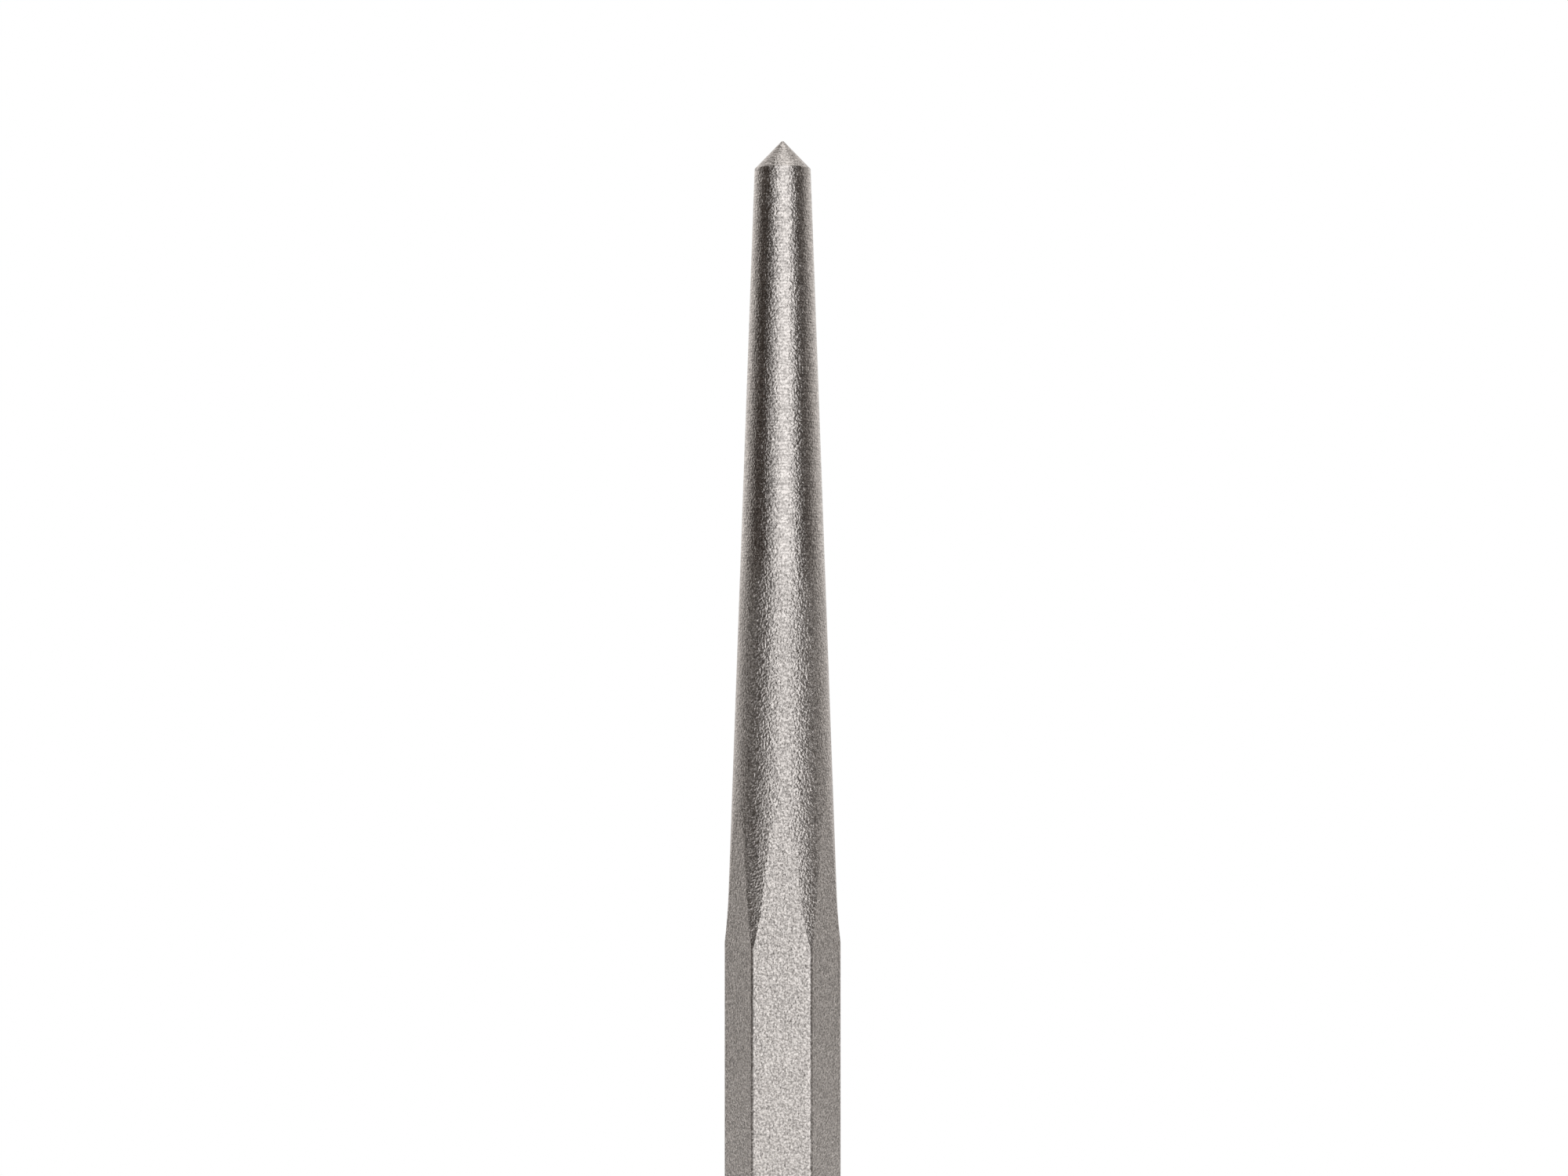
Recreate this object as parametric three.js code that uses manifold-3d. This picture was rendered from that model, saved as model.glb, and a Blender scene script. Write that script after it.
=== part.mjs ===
// A plain center punch, forged and turned from one length of hexagon tool-steel bar.
// Millimetres. +Z runs along the bar, from the struck end up to the point.
// The origin is the centre of the flat struck face, and two of the six flats face -Y and +Y.

import * as THREE from "three";
import { mergeVertices } from "three/addons/utils/BufferGeometryUtils.js";
import Module from "manifold-3d";

const degrees = THREE.MathUtils.degToRad;

// Driving dimensions: the bar
const OVERALL_LENGTH = 152.4;
const HEX_ACROSS_FLATS = 9.525;
const HEX_CORNER_RADIUS = 0.42;

// Driving dimensions: the working end
const WORKING_LENGTH = 75.1; // tip to the first full hexagon section
const POINT_HALF_ANGLE = degrees(44);
const TIP_RADIUS = 0.2;
const SHOULDER_DIAMETER = 5.26; // where the cone and the taper meet
const SHOULDER_EDGE_RADIUS = 0.12;
const TAPER_HALF_ANGLE = degrees(2.06);
const BLEND_RADIUS = 57; // from the taper out to the hexagon corners

// Driving dimensions: the struck end
const STRUCK_FACE_DIAMETER = 6.8;
const STRUCK_EDGE_RADIUS = 0.5;
const HEAD_BEVEL_HALF_ANGLE = degrees(30);

// Finish: nickel-grey plating over grit-blasted steel
const PLATING_COLOUR = 0xc4bfbb;
const PLATING_ROUGHNESS = 0.42;

// Facets
const FACETS_AROUND = 96;
const ARC_DIVISIONS = 3;
const CORNER_DIVISIONS = 2;

// The turned profile stands this far outside the hexagon corners where the tool doesn't cut them.
const TURNING_CLEARANCE = 0.3;
const EXTRUDE_OVERRUN = 1;

const HEX_SIDES = 6;
const HALF_SIDE_ANGLE = Math.PI / HEX_SIDES;
const HALF_FLATS = HEX_ACROSS_FLATS / 2;
const CORNER_CENTRE_DISTANCE = (HALF_FLATS - HEX_CORNER_RADIUS) / Math.cos(HALF_SIDE_ANGLE);
const CORNER_REACH = CORNER_CENTRE_DISTANCE + HEX_CORNER_RADIUS;

const wasm = await Module();
wasm.setup();

// The unit normal, as (radius, height), of a surface that leans from the axis by the given angle.
function outwardNormal(halfAngle) {
  return new THREE.Vector2(Math.cos(halfAngle), Math.sin(halfAngle));
}

// The sharp corner that the cone and the taper would make without the small edge radius.
function shoulderCorner() {
  const radius = SHOULDER_DIAMETER / 2;
  const apexHeight = OVERALL_LENGTH + TIP_RADIUS * (1 / Math.sin(POINT_HALF_ANGLE) - 1);
  return new THREE.Vector2(radius, apexHeight - radius / Math.tan(POINT_HALF_ANGLE));
}

// The centre of the arc that rounds the shoulder: inside the bar, tangent to the cone and the taper.
function shoulderArcCentre(corner) {
  const middleAngle = (POINT_HALF_ANGLE + TAPER_HALF_ANGLE) / 2;
  const halfTurn = (POINT_HALF_ANGLE - TAPER_HALF_ANGLE) / 2;
  const distance = SHOULDER_EDGE_RADIUS / Math.cos(halfTurn);
  return corner.clone().addScaledVector(outwardNormal(middleAngle), -distance);
}

// The centre of the hollow blend arc: outside the bar, tangent to the taper, and passing through
// the hexagon corner where the full section begins.
function blendArcCentre(corner) {
  const normal = outwardNormal(TAPER_HALF_ANGLE);
  const downTaper = new THREE.Vector2(Math.sin(TAPER_HALF_ANGLE), -Math.cos(TAPER_HALF_ANGLE));
  const fullSection = new THREE.Vector2(CORNER_REACH, OVERALL_LENGTH - WORKING_LENGTH);
  const offset = fullSection.sub(corner);
  const rise = offset.dot(normal);
  const run = Math.sqrt(rise * (2 * BLEND_RADIUS - rise));
  const tangentPoint = corner.clone().addScaledVector(downTaper, offset.dot(downTaper) - run);
  return tangentPoint.addScaledVector(normal, BLEND_RADIUS);
}

// The turned outline as (radius, height), from the middle of the struck face up to the tip.
function turnedProfile() {
  const blankRadius = CORNER_REACH + TURNING_CLEARANCE;
  const corner = shoulderCorner();
  const shoulder = shoulderArcCentre(corner);
  const blend = blendArcCentre(corner);
  const faceRadius = STRUCK_FACE_DIAMETER / 2;
  const bevelAngle = -HEAD_BEVEL_HALF_ANGLE;
  const bevelStart = outwardNormal(bevelAngle).multiplyScalar(STRUCK_EDGE_RADIUS);
  bevelStart.add(new THREE.Vector2(faceRadius, STRUCK_EDGE_RADIUS));
  const bevelTop = bevelStart.y + (blankRadius - bevelStart.x) / Math.tan(HEAD_BEVEL_HALF_ANGLE);
  const blendOuterAngle = Math.PI + Math.acos((blend.x - blankRadius) / BLEND_RADIUS);
  const blendInnerAngle = Math.PI + TAPER_HALF_ANGLE;

  const path = new THREE.Path();
  path.moveTo(0, 0);
  path.lineTo(faceRadius, 0);
  path.absarc(faceRadius, STRUCK_EDGE_RADIUS, STRUCK_EDGE_RADIUS, -Math.PI / 2, bevelAngle, false);
  path.lineTo(blankRadius, bevelTop);
  path.absarc(blend.x, blend.y, BLEND_RADIUS, blendOuterAngle, blendInnerAngle, true);
  path.absarc(shoulder.x, shoulder.y, SHOULDER_EDGE_RADIUS, TAPER_HALF_ANGLE, POINT_HALF_ANGLE, false);
  path.absarc(0, OVERALL_LENGTH - TIP_RADIUS, TIP_RADIUS, POINT_HALF_ANGLE, Math.PI / 2, false);
  return path.getPoints(ARC_DIVISIONS);
}

// The turned envelope, swung round the bar's axis.
function turnedEnvelope() {
  const geometry = new THREE.LatheGeometry(turnedProfile(), FACETS_AROUND);
  geometry.rotateX(Math.PI / 2);
  return geometry;
}

// The hexagon bar with its slightly round corners, longer than the punch at both ends.
function hexagonBar() {
  const outline = new THREE.Shape();
  for (let side = 0; side < HEX_SIDES; side++) {
    const angle = 2 * side * HALF_SIDE_ANGLE;
    const x = CORNER_CENTRE_DISTANCE * Math.cos(angle);
    const y = CORNER_CENTRE_DISTANCE * Math.sin(angle);
    outline.absarc(x, y, HEX_CORNER_RADIUS, angle - HALF_SIDE_ANGLE, angle + HALF_SIDE_ANGLE, false);
  }
  const geometry = new THREE.ExtrudeGeometry(outline, {
    depth: OVERALL_LENGTH + 2 * EXTRUDE_OVERRUN,
    bevelEnabled: false,
    curveSegments: CORNER_DIVISIONS,
  });
  geometry.translate(0, 0, -EXTRUDE_OVERRUN);
  return geometry;
}

// A lathe makes flat triangles where its profile meets the axis, and they are left out.
function wholeTriangles(index) {
  const kept = [];
  for (let i = 0; i < index.length; i += 3) {
    const [a, b, c] = index.slice(i, i + 3);
    if (a !== b && b !== c && c !== a) {
      kept.push(a, b, c);
    }
  }
  return new Uint32Array(kept);
}

function toSolid(geometry) {
  geometry.deleteAttribute("normal");
  geometry.deleteAttribute("uv");
  const merged = mergeVertices(geometry);
  const vertProperties = new Float32Array(merged.attributes.position.array);
  const triVerts = wholeTriangles(merged.index.array);
  return new wasm.Manifold(new wasm.Mesh({ numProp: 3, vertProperties, triVerts }));
}

function toGeometry(solid) {
  const mesh = solid.getMesh();
  const geometry = new THREE.BufferGeometry();
  geometry.setAttribute("position", new THREE.BufferAttribute(mesh.vertProperties, mesh.numProp));
  geometry.setIndex(new THREE.BufferAttribute(mesh.triVerts, 1));
  geometry.computeVertexNormals();
  return geometry;
}

// The punch is the hexagon bar cut back to the turned envelope: one solid piece of steel.
function punchBody() {
  const solid = toSolid(hexagonBar()).intersect(toSolid(turnedEnvelope()));
  const platedSteel = new THREE.MeshStandardMaterial({
    color: PLATING_COLOUR,
    roughness: PLATING_ROUGHNESS,
    metalness: 1,
  });
  const mesh = new THREE.Mesh(toGeometry(solid), platedSteel);
  mesh.name = "punch_body";
  return mesh;
}

const punch = new THREE.Group();
punch.add(punchBody());

export default punch;
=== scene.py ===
"""The visible model of a plain center punch: one bar of hexagon steel, turned to a taper and a point.

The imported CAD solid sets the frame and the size. This script swaps its facets for a fine surface,
gives it the metal's finish, and puts it in a pale studio. Every length is in metres.
"""
import math

import bpy
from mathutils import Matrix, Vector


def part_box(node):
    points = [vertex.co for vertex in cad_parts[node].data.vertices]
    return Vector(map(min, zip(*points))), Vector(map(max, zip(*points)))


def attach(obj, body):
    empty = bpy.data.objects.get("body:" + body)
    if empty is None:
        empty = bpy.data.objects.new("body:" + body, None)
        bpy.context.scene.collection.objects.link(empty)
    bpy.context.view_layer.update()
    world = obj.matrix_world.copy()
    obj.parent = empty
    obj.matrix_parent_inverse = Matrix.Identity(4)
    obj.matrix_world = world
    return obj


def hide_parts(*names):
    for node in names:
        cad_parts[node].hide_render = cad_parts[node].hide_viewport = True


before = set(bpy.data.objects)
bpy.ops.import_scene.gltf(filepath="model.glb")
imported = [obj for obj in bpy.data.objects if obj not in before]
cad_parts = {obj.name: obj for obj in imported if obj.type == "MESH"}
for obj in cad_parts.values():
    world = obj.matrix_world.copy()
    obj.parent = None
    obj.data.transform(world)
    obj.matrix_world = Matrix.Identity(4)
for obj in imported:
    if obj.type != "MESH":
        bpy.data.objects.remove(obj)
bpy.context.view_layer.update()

MM = 0.001
NODE = "punch_body"
# The name of the bar's own UV map.
BAKE_MAP = "OFBake"

# The turned outline, as the CAD part draws it.
POINT_HALF_ANGLE = math.radians(44)
TIP_RADIUS = 0.2 * MM
SHOULDER_RADIUS = 2.63 * MM
SHOULDER_EDGE_RADIUS = 0.12 * MM
TAPER_HALF_ANGLE = math.radians(2.06)
BLEND_RADIUS = 57 * MM
WORKING_LENGTH = 75.1 * MM
HEX_CORNER_RADIUS = 0.42 * MM
STRUCK_FACE_RADIUS = 3.4 * MM
STRUCK_EDGE_RADIUS = 0.5 * MM
HEAD_BEVEL_HALF_ANGLE = math.radians(30)

HALF_SIDE_ANGLE = math.pi / 6
HEX_SIDES = 6

low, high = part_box(NODE)
LENGTH = high[2]
HALF_FLATS = high[1]
CORNER_REACH = high[0]
CORNER_CENTRE = CORNER_REACH - HEX_CORNER_RADIUS

# How many rows of faces each stretch of the bar's outline takes, from the struck face to the tip.
FACE_ROWS = 8
STRUCK_EDGE_ROWS = 6
BEVEL_ROWS = 8
GRIP_ROWS = 40
TAPER_ROWS = 64
SHOULDER_ROWS = 6
CONE_ROWS = 12
TIP_ROWS = 6

# How many columns of faces the hexagon takes: from a corner's middle to its edge, and across a flat.
CORNER_HALF_STEPS = 3
FLAT_STEPS = 30


# ---------------------------------------------------------------- the bar's outlines

def polar(radius, angle):
    """A step of this length in the plane of (radius, height), at an angle above the horizontal."""
    return radius * math.cos(angle), radius * math.sin(angle)


def shoulder_corner():
    """Where the cone and the taper would meet without the small edge radius."""
    apex = LENGTH + TIP_RADIUS * (1 / math.sin(POINT_HALF_ANGLE) - 1)
    return SHOULDER_RADIUS, apex - SHOULDER_RADIUS / math.tan(POINT_HALF_ANGLE)


def shoulder_arc_centre():
    """The small edge radius's centre: tangent to the cone above and the taper below."""
    corner_r, corner_z = shoulder_corner()
    half_turn = (POINT_HALF_ANGLE - TAPER_HALF_ANGLE) / 2
    back_r, back_z = polar(
        SHOULDER_EDGE_RADIUS / math.cos(half_turn), (POINT_HALF_ANGLE + TAPER_HALF_ANGLE) / 2)
    return corner_r - back_r, corner_z - back_z


def blend_arc_centre():
    """The hollow arc's centre: tangent to the taper, and through the first full hexagon section."""
    corner_r, corner_z = shoulder_corner()
    normal_r, normal_z = polar(1, TAPER_HALF_ANGLE)
    down_r, down_z = normal_z, -normal_r
    off_r = CORNER_REACH - corner_r
    off_z = LENGTH - WORKING_LENGTH - corner_z
    rise = off_r * normal_r + off_z * normal_z
    run = math.sqrt(rise * (2 * BLEND_RADIUS - rise))
    along = off_r * down_r + off_z * down_z - run
    return (corner_r + along * down_r + BLEND_RADIUS * normal_r,
            corner_z + along * down_z + BLEND_RADIUS * normal_z)


BLEND_R, BLEND_Z = blend_arc_centre()
BLEND_TOP_R = BLEND_R - BLEND_RADIUS * math.cos(TAPER_HALF_ANGLE)
BLEND_TOP_Z = BLEND_Z - BLEND_RADIUS * math.sin(TAPER_HALF_ANGLE)


def turned_radius(height):
    """The taper's radius, and below it the hollow blend's."""
    if height >= BLEND_TOP_Z:
        return BLEND_TOP_R - (height - BLEND_TOP_Z) * math.tan(TAPER_HALF_ANGLE)
    return BLEND_R - math.sqrt(BLEND_RADIUS ** 2 - (BLEND_Z - height) ** 2)


def turned_height(radius):
    """The height at which the taper or the blend has this radius."""
    if radius <= BLEND_TOP_R:
        return BLEND_TOP_Z + (BLEND_TOP_R - radius) / math.tan(TAPER_HALF_ANGLE)
    return BLEND_Z - math.sqrt(BLEND_RADIUS ** 2 - (BLEND_R - radius) ** 2)


def outline_points():
    """Points round the hexagon bar's section, closer together at its slightly round corners."""
    half_flat = (HALF_FLATS - HEX_CORNER_RADIUS) * math.tan(HALF_SIDE_ANGLE)
    points = []
    for side in range(HEX_SIDES):
        corner = 2 * side * HALF_SIDE_ANGLE
        for step in range(-CORNER_HALF_STEPS, CORNER_HALF_STEPS + 1):
            across, along = polar(HEX_CORNER_RADIUS, step / CORNER_HALF_STEPS * HALF_SIDE_ANGLE)
            points.append((math.hypot(CORNER_CENTRE + across, along),
                           corner + math.atan2(along, CORNER_CENTRE + across)))
        for step in range(1, FLAT_STEPS):
            along = -half_flat * math.cos(math.pi * step / FLAT_STEPS)
            points.append((math.hypot(HALF_FLATS, along),
                           corner + HALF_SIDE_ANGLE + math.atan2(along, HALF_FLATS)))
    return points


def eased(steps):
    """Fractions from just above 0 to 1, closer together at both ends."""
    return [(1 - math.cos(math.pi * step / steps)) / 2 for step in range(1, steps + 1)]


def column(hex_radius):
    """(radius, height) from the struck face's middle to the tip, where the bar is this far out."""
    points = []

    def line(r, z, steps):
        r0, z0 = points[-1]
        points.extend((r0 + (r - r0) * t, z0 + (z - z0) * t) for t in eased(steps))

    def arc(centre_r, centre_z, radius, start, end, steps):
        for step in range(1, steps + 1):
            r, z = polar(radius, start + (end - start) * step / steps)
            points.append((centre_r + r, centre_z + z))

    points.append((0, 0))
    line(STRUCK_FACE_RADIUS, 0, FACE_ROWS)
    arc(STRUCK_FACE_RADIUS, STRUCK_EDGE_RADIUS, STRUCK_EDGE_RADIUS,
        -math.pi / 2, -HEAD_BEVEL_HALF_ANGLE, STRUCK_EDGE_ROWS)
    bevel_r, bevel_z = points[-1]
    bevel_top = bevel_z + (hex_radius - bevel_r) / math.tan(HEAD_BEVEL_HALF_ANGLE)
    line(hex_radius, bevel_top, BEVEL_ROWS)

    full_section_top = turned_height(hex_radius)
    line(hex_radius, full_section_top, GRIP_ROWS)

    edge_centre_r, edge_centre_z = shoulder_arc_centre()
    taper_top = edge_centre_z + SHOULDER_EDGE_RADIUS * math.sin(TAPER_HALF_ANGLE)
    for t in eased(TAPER_ROWS):
        height = full_section_top + (taper_top - full_section_top) * t
        points.append((turned_radius(height), height))
    arc(edge_centre_r, edge_centre_z, SHOULDER_EDGE_RADIUS, TAPER_HALF_ANGLE, POINT_HALF_ANGLE,
        SHOULDER_ROWS)

    tip_r, tip_z = polar(TIP_RADIUS, POINT_HALF_ANGLE)
    tip_z += LENGTH - TIP_RADIUS
    line(tip_r, tip_z, CONE_ROWS)
    arc(0, LENGTH - TIP_RADIUS, TIP_RADIUS, POINT_HALF_ANGLE, math.pi / 2, TIP_ROWS)
    return points


# ---------------------------------------------------------------- the bar's surface

def texture_places(outline, columns):
    """A function from (row, column, the face's row) to a place on the texture, in parts of its width.

    The struck face and the cone are seen flat on. The sides are two strips, unrolled.
    """
    texture_width = 84 * MM
    gap = 1 * MM
    face_middle = 5 * MM
    cone_middle = 15 * MM
    lower_grip_rows = 31
    edge_rows_with_sides = 2
    middle_row = FACE_ROWS + STRUCK_EDGE_ROWS + BEVEL_ROWS + lower_grip_rows
    face_end = FACE_ROWS + STRUCK_EDGE_ROWS - edge_rows_with_sides
    cone_start = len(columns[0]) - 1 - TIP_ROWS - CONE_ROWS - SHOULDER_ROWS // 2

    sections = [(radius * math.cos(angle), radius * math.sin(angle)) for radius, angle in outline]
    sections.append(sections[0])
    around = [0]
    for start, end in zip(sections, sections[1:]):
        around.append(around[-1] + math.dist(start, end))
    strip = around[-1] + gap
    upper_base = min(points[middle_row][1] for points in columns)
    disc_x = 2 * strip + gap + STRUCK_FACE_RADIUS + STRUCK_EDGE_RADIUS

    def place(row, col, face_row):
        radius, height = columns[col % len(columns)][row]
        x, y = polar(radius, outline[col % len(columns)][1])
        if face_row < face_end:
            spot = (disc_x + x, face_middle - y)
        elif face_row >= cone_start:
            spot = (disc_x + x, cone_middle + y)
        elif face_row < middle_row:
            spot = (gap + around[col], gap + height)
        else:
            spot = (gap + strip + around[col], gap + height - upper_base)
        return spot[0] / texture_width, spot[1] / texture_width

    return place


def bar_mesh():
    """A grid of rows and columns that closes on one vertex at each end."""
    outline = outline_points()
    columns = [column(radius) for radius, _ in outline]
    count = len(columns)
    top_row = len(columns[0]) - 1
    vertices = [(0, 0, 0)]
    for row in range(1, top_row):
        for (_, angle), points in zip(outline, columns):
            radius, height = points[row]
            vertices.append((*polar(radius, angle), height))
    vertices.append((0, 0, LENGTH))

    def index(row, col):
        if row == top_row:
            return len(vertices) - 1
        return 0 if row == 0 else 1 + (row - 1) * count + col % count

    place = texture_places(outline, columns)
    faces, places = [], []
    for row in range(top_row):
        for col in range(count):
            corners = [(row, col), (row, col + 1), (row + 1, col + 1), (row + 1, col)]
            if row == 0:
                corners.pop(1)
            elif row == top_row - 1:
                corners.pop(2)
            faces.append([index(*corner) for corner in corners])
            places += [place(*corner, row) for corner in corners]

    mesh = bpy.data.meshes.new("punch")
    mesh.from_pydata(vertices, [], faces)
    mesh.polygons.foreach_set("use_smooth", [True] * len(faces))
    texture = mesh.uv_layers.new(name=BAKE_MAP)
    texture.uv.foreach_set("vector", [value for spot in places for value in spot])
    mesh.update()
    return mesh


# ---------------------------------------------------------------- the finish, with painted glints and shade in its colour

class Nodes:
    """Adds nodes to a material's or world's tree in short calls."""

    def __init__(self, tree):
        self.tree = tree
        tree.nodes.clear()

    def add(self, kind, inputs=None, **settings):
        made = self.tree.nodes.new(kind)
        for name, value in settings.items():
            setattr(made, name, value)
        for name, value in (inputs or {}).items():
            if isinstance(value, bpy.types.NodeSocket):
                self.tree.links.new(value, made.inputs[name])
            else:
                made.inputs[name].default_value = value
        return made

    def math(self, operation, first, second=0.0, clamp=False):
        return self.add("ShaderNodeMath", {0: first, 1: second},
                        operation=operation, use_clamp=clamp).outputs[0]

    def ramp(self, value, start, end, low_value=0.0, high_value=1.0):
        """A smooth rise or fall of a value between two of its own levels."""
        return self.add("ShaderNodeMapRange", {
            "Value": value, "From Min": start, "From Max": end,
            "To Min": low_value, "To Max": high_value,
        }, interpolation_type="SMOOTHSTEP").outputs["Result"]

    def noise(self, vector, scale, detail, gain=1.0):
        """Noise that swings about zero, times a gain."""
        texture = self.add("ShaderNodeTexNoise",
                           {"Vector": vector, "Scale": scale, "Detail": detail})
        return self.math("MULTIPLY", self.math("SUBTRACT", texture.outputs["Fac"], 0.5), gain)

    def total(self, first, *others):
        for other in others:
            first = self.math("ADD", first, other)
        return first

    def colour_sum(self, terms):
        """The sum of some colours, each times its own level."""
        total = None
        for level, colour in terms:
            part = self.add("ShaderNodeVectorMath", {0: colour, "Scale": level},
                            operation="SCALE").outputs[0]
            if total is not None:
                part = self.add("ShaderNodeVectorMath", {0: total, 1: part},
                                operation="ADD").outputs[0]
            total = part
        return total

    def blend(self, share, first, second):
        """From the first colour to the second as the share goes from 0 to 1."""
        return self.add("ShaderNodeMix", {0: share, 6: first, 7: second},
                        data_type="RGBA").outputs[2]


# The turned finish gives way to the blasted one between these depths below the tip.
FADE_BEGINS = 37 * MM
FADE_ENDS = 44.5 * MM

# The relief. A scale counts features to a metre. A part is a feature's strength beside the one
# that it is added to.
RELIEF_DEPTH = 0.13 * MM
CRATER_SCALE = 4900
UNEVEN_SCALE = 2000
UNEVEN_PART = 0.35
STREAK_SCALE = (950, 950, 5600)
WAVE_PART = 0.07
TURNING_PART = 0.4

# One wave to a turn of the lathe, and how far its phase wanders, in radians from end to end.
LATHE_FEED = 0.27 * MM
WANDER = 10.0
WANDER_SCALE = 160

# How much of the blasting is left on the turned end and on the hexagon's corners, and how far in
# from a corner's crest it begins to grow back and is whole.
BLASTED_TAPER = 0.55
BLASTED_CORNER = 0.4
CORNER_BEGINS = 0.03 * MM
CORNER_ENDS = 0.09 * MM

# The tone runs from 0, the dark colour, to 1, the light one. Its fine speckle is painted glints
# and painted pit shade of the blasted grain, its turning part is painted shade and sheen along the
# lathe lines, and its mottle is tone that differs at random.
DARK_SHADE_AND_TONE = (0.50, 0.471, 0.450, 1)
LIGHT_GLINT_AND_TONE = (0.97, 0.922, 0.882, 1)
MIDDLE_TONE = 0.5
GLINT_SPECKLE_SCALE = 5000
GLINT_SPECKLE_TONE = 3.9
TAPER_GLINT_SPECKLE_PART = 0.7
MOTTLE_SCALE = 700
MOTTLE_TONE = 0.4
TURNING_SHADE_TONE = 1.7

BLASTED_ROUGHNESS = 0.32
TURNED_ROUGHNESS = 0.25
MOTTLE_ROUGHNESS = 0.1


def plated_steel():
    """Satin nickel grey over blasted steel, smoother and finely turned towards the point.
    Glints and pit shade of the grain, and shade along the lathe lines, are painted into its colour.
    """
    material = bpy.data.materials.new("plated_steel")
    material.use_nodes = True
    nodes = Nodes(material.node_tree)
    place = nodes.add("ShaderNodeTexCoord").outputs["Object"]
    height = nodes.add("ShaderNodeSeparateXYZ", {0: place}).outputs["Z"]
    turned = nodes.ramp(height, LENGTH - FADE_ENDS, LENGTH - FADE_BEGINS)

    # Blasting: craters of about 0.2 mm over a broader unevenness, gentler on the bar's corners.
    grain = nodes.total(nodes.noise(place, CRATER_SCALE, 1.0),
                        nodes.noise(place, UNEVEN_SCALE, 1.0, gain=UNEVEN_PART))
    flat_place = nodes.add("ShaderNodeVectorMath", {0: place, 1: (1, 1, 0)},
                           operation="MULTIPLY").outputs[0]
    reach = nodes.add("ShaderNodeVectorMath", {0: flat_place}, operation="LENGTH").outputs["Value"]
    on_flats = nodes.ramp(reach, CORNER_REACH - CORNER_BEGINS, CORNER_REACH - CORNER_ENDS,
                          BLASTED_CORNER, 1.0)
    on_taper = nodes.ramp(turned, 0.0, 1.0, 1.0, BLASTED_TAPER)
    blasting = nodes.math("MULTIPLY", grain, nodes.math("MULTIPLY", on_flats, on_taper))

    # Turning: one line each turn of the lathe, broken up along the way round.
    turns = nodes.total(nodes.math("MULTIPLY", height, 2 * math.pi / LATHE_FEED),
                        nodes.noise(place, WANDER_SCALE, 2.0, gain=WANDER))
    wave = nodes.math("MULTIPLY", nodes.math("SINE", turns), WAVE_PART)
    stretched = nodes.add("ShaderNodeMapping", {"Vector": place, "Scale": STREAK_SCALE})
    streaks = nodes.noise(stretched.outputs["Vector"], 1.0, 1.0)
    turning = nodes.math("MULTIPLY", nodes.total(wave, streaks), turned)

    relief = nodes.total(blasting, nodes.math("MULTIPLY", turning, TURNING_PART))
    bump = nodes.add("ShaderNodeBump", {
        "Height": relief, "Strength": 1.0, "Distance": RELIEF_DEPTH,
    }).outputs["Normal"]

    mottle = nodes.noise(place, MOTTLE_SCALE, 3.0)
    # Painted glints and painted pit shade: fine light and dark specks in the colour, standing in for
    # light caught or hidden by the blasted grain.
    glint_speckle = nodes.math("MULTIPLY", nodes.noise(place, GLINT_SPECKLE_SCALE, 1.0, gain=GLINT_SPECKLE_TONE),
                         nodes.ramp(turned, 0.0, 1.0, 1.0, TAPER_GLINT_SPECKLE_PART))
    # The tone also carries the turning lines, as painted shade in their grooves and painted sheen
    # between them.
    tone = nodes.total(glint_speckle, nodes.math("MULTIPLY", mottle, MOTTLE_TONE),
                       nodes.math("MULTIPLY", turning, TURNING_SHADE_TONE), MIDDLE_TONE)
    colour = nodes.add("ShaderNodeValToRGB", {"Fac": tone})
    colour.color_ramp.elements[0].color = DARK_SHADE_AND_TONE
    colour.color_ramp.elements[1].color = LIGHT_GLINT_AND_TONE

    roughness = nodes.total(nodes.ramp(turned, 0.0, 1.0, BLASTED_ROUGHNESS, TURNED_ROUGHNESS),
                            nodes.math("MULTIPLY", mottle, MOTTLE_ROUGHNESS))
    shader = nodes.add("ShaderNodeBsdfPrincipled", {
        "Base Color": colour.outputs["Color"], "Metallic": 1.0,
        "Roughness": roughness, "Normal": bump,
    })
    nodes.add("ShaderNodeOutputMaterial", {"Surface": shader.outputs[0]})
    return material


def pale_floor():
    """A pale floor that thins out to the white of the studio, so it has no edge in any view."""
    fade_start = 0.10
    fade_end = 0.25
    floor_glow = 0.24
    material = bpy.data.materials.new("pale_floor")
    material.use_nodes = True
    nodes = Nodes(material.node_tree)
    place = nodes.add("ShaderNodeTexCoord").outputs["Object"]
    reach = nodes.add("ShaderNodeVectorMath", {0: place}, operation="LENGTH").outputs["Value"]
    paint = nodes.add("ShaderNodeBsdfDiffuse", {"Color": (0.9, 0.9, 0.9, 1)}).outputs[0]
    glow = nodes.add("ShaderNodeEmission", {"Color": (1, 1, 1, 1), "Strength": floor_glow}).outputs[0]
    lit = nodes.add("ShaderNodeAddShader", {0: paint, 1: glow}).outputs[0]
    clear = nodes.add("ShaderNodeBsdfTransparent").outputs[0]
    share = nodes.ramp(reach, fade_start, fade_end)
    mixed = nodes.add("ShaderNodeMixShader", {0: share, 1: lit, 2: clear})
    nodes.add("ShaderNodeOutputMaterial", {"Surface": mixed.outputs[0]})
    return material


# ---------------------------------------------------------------- the studio

KEY_COLOUR = (1.1, 1.1, 1.11)
GLOW_COLOUR = (1.0, 0.975, 0.955)
DIM_COLOUR = (0.034, 0.026, 0.021)
CEILING_COLOUR = (0.95, 0.93, 0.913, 1)

# Bearings in degrees, from where each side of the light begins to where it is full.
KEY_LEFT = (-58, 12)
KEY_RIGHT = (59, 17)
BACK_LEFT = (-80, -157)
BACK_RIGHT = (63, 165)
BACK_LEFT_LEVEL = 0.82
BACK_RIGHT_LEVEL = 0.80

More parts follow.
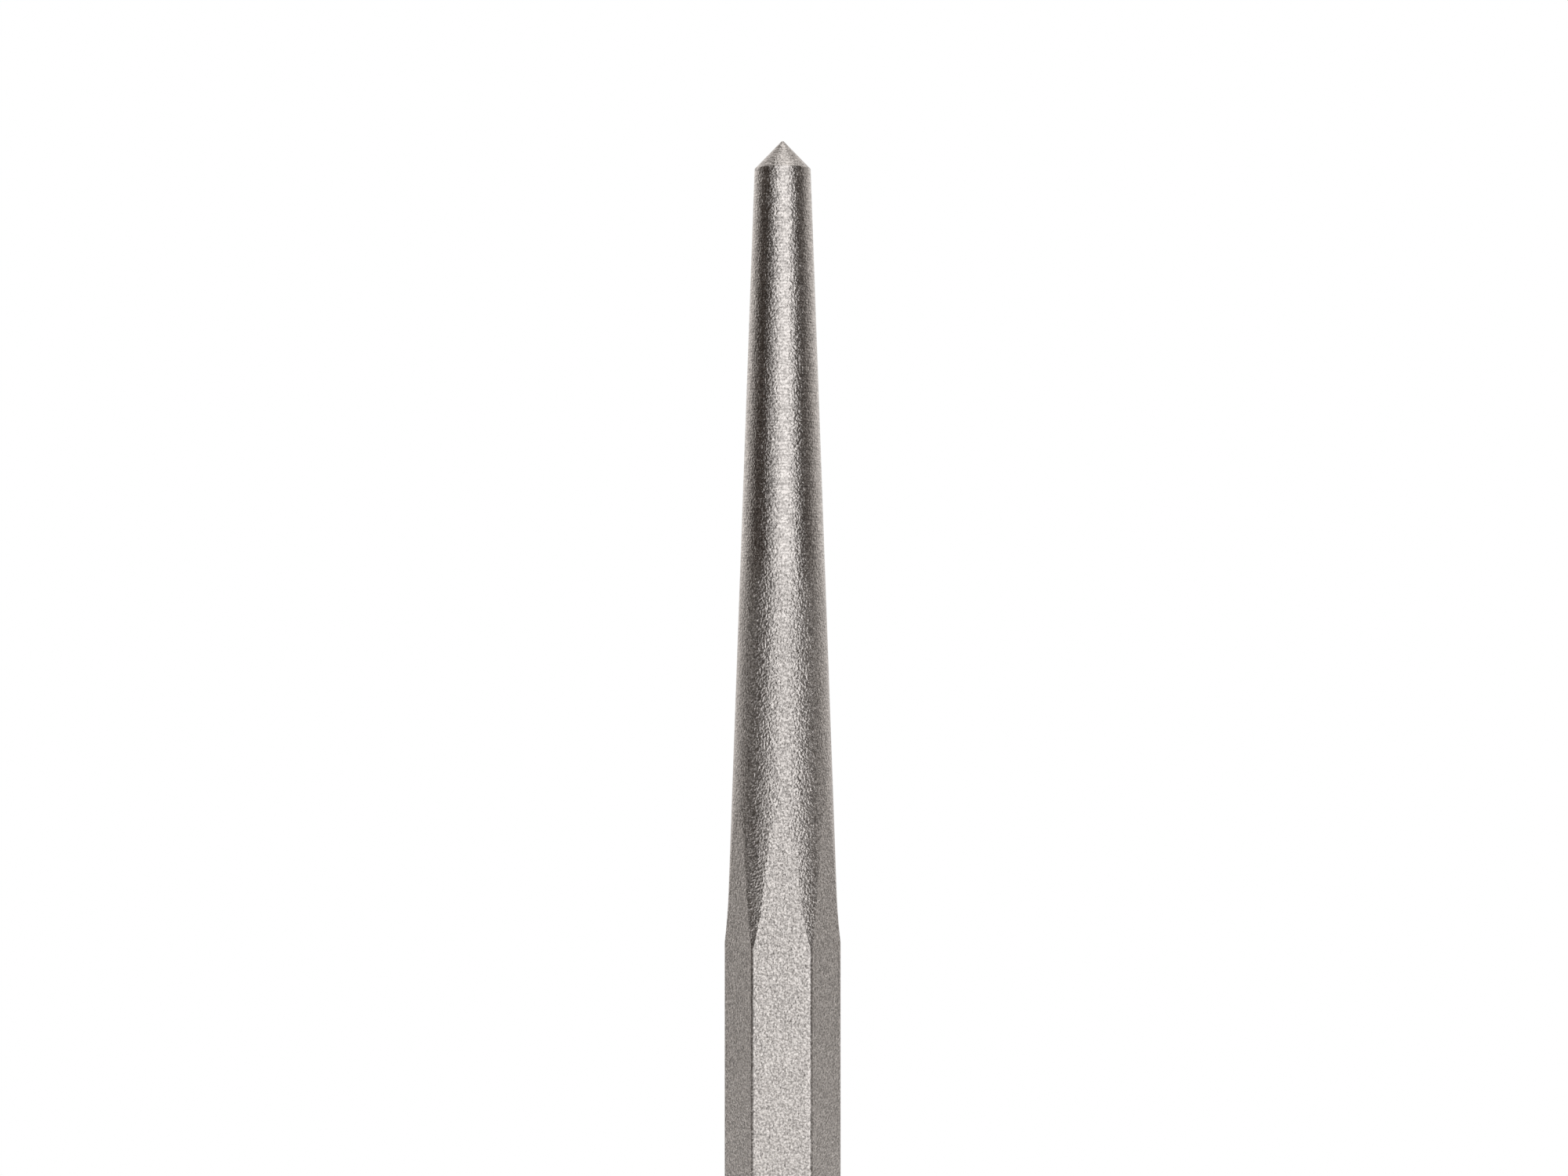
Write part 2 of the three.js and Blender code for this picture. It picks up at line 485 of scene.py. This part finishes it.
# Heights are sines of the angle above the horizon. The back's light thins out upwards and downwards
# between these heights, to a part of itself.
HIGH_FADE = (0.3, 0.8)
HIGH_PART = 0.6
LOW_FADE = (-0.03, -0.15)
LOW_PART = 0.5

# The ceiling brightens between these heights, and lies lower towards +X by this slope.
CEILING_FADE = (0.88, 1.0)
CEILING_SLOPE = 0.12


def studio_floor():
    half = 0.3
    mesh = bpy.data.meshes.new("floor")
    mesh.from_pydata([(-half, -half, 0), (half, -half, 0), (half, half, 0), (-half, half, 0)],
                     [], [(0, 1, 2, 3)])
    mesh.materials.append(pale_floor())
    floor = bpy.data.objects.new("floor", mesh)
    bpy.context.scene.collection.objects.link(floor)


def studio_light():
    """A soft white room: a tall bright front, darker sides, a paler back and a lit ceiling."""
    world = bpy.data.worlds.new("studio")
    bpy.context.scene.world = world
    world.use_nodes = True
    nodes = Nodes(world.node_tree)
    direction = nodes.add("ShaderNodeTexCoord").outputs["Generated"]
    parts = nodes.add("ShaderNodeSeparateXYZ", {0: direction}).outputs
    # The bearing is 0 in front of the punch, on the camera's side, and grows towards +X.
    bearing = nodes.math("ARCTAN2", parts["X"], nodes.math("MULTIPLY", parts["Y"], -1.0))

    def side(bearings, level=1.0):
        begins, full = map(math.radians, bearings)
        return nodes.ramp(bearing, begins, full, 0.0, level)

    key = nodes.math("MULTIPLY", side(KEY_LEFT), side(KEY_RIGHT))
    back = nodes.math("ADD", side(BACK_LEFT, BACK_LEFT_LEVEL), side(BACK_RIGHT, BACK_RIGHT_LEVEL))
    high_share = nodes.ramp(parts["Z"], *HIGH_FADE, 1.0, HIGH_PART)
    low_share = nodes.ramp(parts["Z"], *LOW_FADE, 1.0, LOW_PART)
    glow = nodes.math("MULTIPLY", back, nodes.math("MULTIPLY", high_share, low_share))
    ring = nodes.colour_sum([(key, KEY_COLOUR), (glow, GLOW_COLOUR), (1.0, DIM_COLOUR)])
    overhead = nodes.total(parts["Z"], nodes.math("MULTIPLY", parts["X"], CEILING_SLOPE))
    ceiling = nodes.ramp(overhead, *CEILING_FADE)
    light = nodes.blend(ceiling, ring, CEILING_COLOUR)

    seen = nodes.add("ShaderNodeLightPath").outputs["Is Camera Ray"]
    colour = nodes.blend(seen, light, (1, 1, 1, 1))
    shade = nodes.add("ShaderNodeBackground", {"Color": colour})
    nodes.add("ShaderNodeOutputWorld", {"Surface": shade.outputs[0]})


def studio_camera():
    """Level with the taper and nearly square to one flat, with the struck end below the frame."""
    distance = 282 * MM
    below_tip = 41.9 * MM
    aside = 0.13 * MM
    turn = math.radians(1)
    data = bpy.data.cameras.new("camera")
    data.lens = 69.05
    data.sensor_width = 36
    data.clip_start = 0.01
    camera = bpy.data.objects.new("camera", data)
    camera.location = (aside * math.cos(turn) + distance * math.sin(turn),
                       aside * math.sin(turn) - distance * math.cos(turn),
                       LENGTH - below_tip)
    camera.rotation_euler = (math.pi / 2, 0, turn)
    bpy.context.scene.collection.objects.link(camera)
    bpy.context.scene.camera = camera


def punch():
    mesh = bar_mesh()
    mesh.materials.append(plated_steel())
    bar = bpy.data.objects.new("punch_surface", mesh)
    bpy.context.scene.collection.objects.link(bar)
    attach(bar, "root")
    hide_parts(NODE)


bpy.context.scene.view_settings.view_transform = "Standard"
studio_camera()
studio_light()
studio_floor()
punch()
